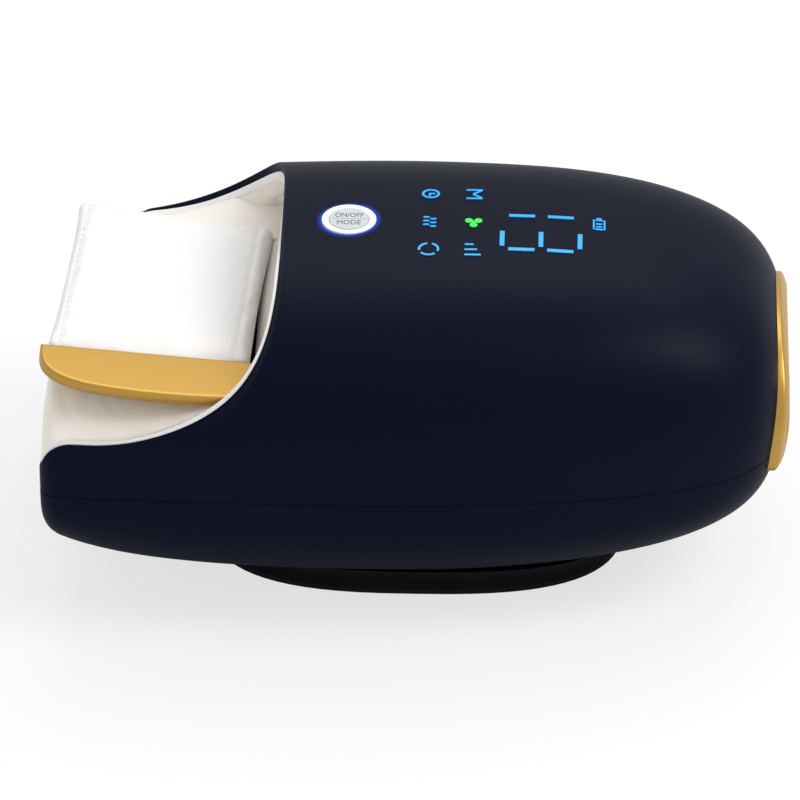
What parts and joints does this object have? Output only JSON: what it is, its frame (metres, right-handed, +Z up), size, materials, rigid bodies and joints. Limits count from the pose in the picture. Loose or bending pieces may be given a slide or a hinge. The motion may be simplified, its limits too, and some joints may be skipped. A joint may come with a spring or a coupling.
{
  "type": "hot and cold hand massager",
  "caption": "Pill-shaped hand massager with a padded palm rest, thumb rest, split push button, lit display, rear vent trim and oval foot.",
  "frame": {"origin": "on the floor, at the centre of the foot's underside", "axes": "+X to the rear vent, the hand goes in at -X; +Y to the side without the thumb rest; +Z up"},
  "size_m": [0.236, 0.148, 0.1152],
  "materials": {
    "navy_plastic": "soft-touch matt navy",
    "black_rubber": "matt",
    "white_plastic": "satin white",
    "cream_fabric": "soft knitted fabric",
    "gold_metal": "satin gold",
    "black_plastic": "matt black",
    "lit_blue": "lit from behind",
    "lit_green": "lit from behind",
    "circuit_board": "solder mask",
    "clear_plastic": "milky",
    "white_leather": "smooth stitched leather",
    "steel": "bright zinc",
    "copper_film": "polyimide film",
    "aluminium": "mill finish",
    "white_ceramic": "unglazed",
    "grey_film": "translucent film",
    "brass": "turned",
    "cell_wrap": "shrink wrap"
  },
  "bodies": {
    "device": {"upper_housing": "navy_plastic", "lower_housing": "navy_plastic", "foot_base": "navy_plastic", "foot_sole": "black_rubber", "rim_bezel": "white_plastic", "hood_lining": "cream_fabric", "rear_trim": "gold_metal", "rear_grille": "black_plastic", "icon_windows": "lit_blue", "fan_icon_window": "lit_green", "button_ring": "white_plastic", "key_switches": "black_plastic", "display_board": "circuit_board", "light_guide": "clear_plastic", "display_carrier": "black_plastic", "palm_pad": "white_leather", "palm_frame": "white_plastic", "palm_skirt": "cream_fabric", "thumb_rest": "gold_metal", "thumb_bracket": "steel", "thumb_screws": "steel", "heating_film": "copper_film", "cold_plate": "aluminium", "thermoelectric_module": "white_ceramic", "heat_sink": "aluminium", "finger_cushion": "cream_fabric", "lower_airbag": "grey_film", "upper_airbag": "grey_film", "tunnel_shell": "white_plastic", "chassis": "black_plastic", "pump_motor": "steel", "pump_head": "white_plastic", "pump_cradle": "black_rubber", "air_manifold": "black_plastic", "air_tube": "grey_film", "valve_bodies": "black_plastic", "inflate_spring": "steel", "release_spring": "steel", "fan_housing": "black_plastic", "fan_screws": "steel", "vent_duct": "black_plastic", "main_board": "circuit_board", "board_parts": "black_plastic", "board_spacers": "brass", "battery_cells": "cell_wrap", "battery_cradle": "black_plastic", "charging_socket": "steel", "chassis_screws": "steel", "base_screws": "steel"},
    "power_key": {"power_button": "white_plastic", "power_key_plunger": "black_plastic"},
    "mode_key": {"mode_button": "white_plastic", "mode_key_plunger": "black_plastic"},
    "pump_spindle": {"pump_rotor": "steel"},
    "fan_wheel": {"fan_rotor": "black_plastic"},
    "inflate_armature": {"inflate_plunger": "steel"},
    "release_armature": {"release_plunger": "steel"}
  },
  "joints": [
    {"name": "power_press", "type": "slide", "parent": "device", "child": "power_key", "axis": [0, 0, -1], "range_m": [0, 0.0005], "stiffness_N_per_m": 2000},
    {"name": "mode_press", "type": "slide", "parent": "device", "child": "mode_key", "axis": [0, 0, -1], "range_m": [0, 0.0005], "stiffness_N_per_m": 2000},
    {"name": "pump_spin", "type": "hinge", "parent": "device", "child": "pump_spindle", "pos_m": [-0.078, 0, 0.03046], "axis": [1, 0, 0], "continuous": true},
    {"name": "fan_spin", "type": "hinge", "parent": "device", "child": "fan_wheel", "pos_m": [0.0984, 0, 0.06425], "axis": [1, 0, 0], "continuous": true},
    {"name": "inflate_lift", "type": "slide", "parent": "device", "child": "inflate_armature", "axis": [0, 0, 1], "range_m": [0, 0.0012], "stiffness_N_per_m": 300, "deforming": ["inflate_spring"]},
    {"name": "release_lift", "type": "slide", "parent": "device", "child": "release_armature", "axis": [0, 0, 1], "range_m": [0, 0.0012], "stiffness_N_per_m": 300, "deforming": ["release_spring"]}
  ]
}
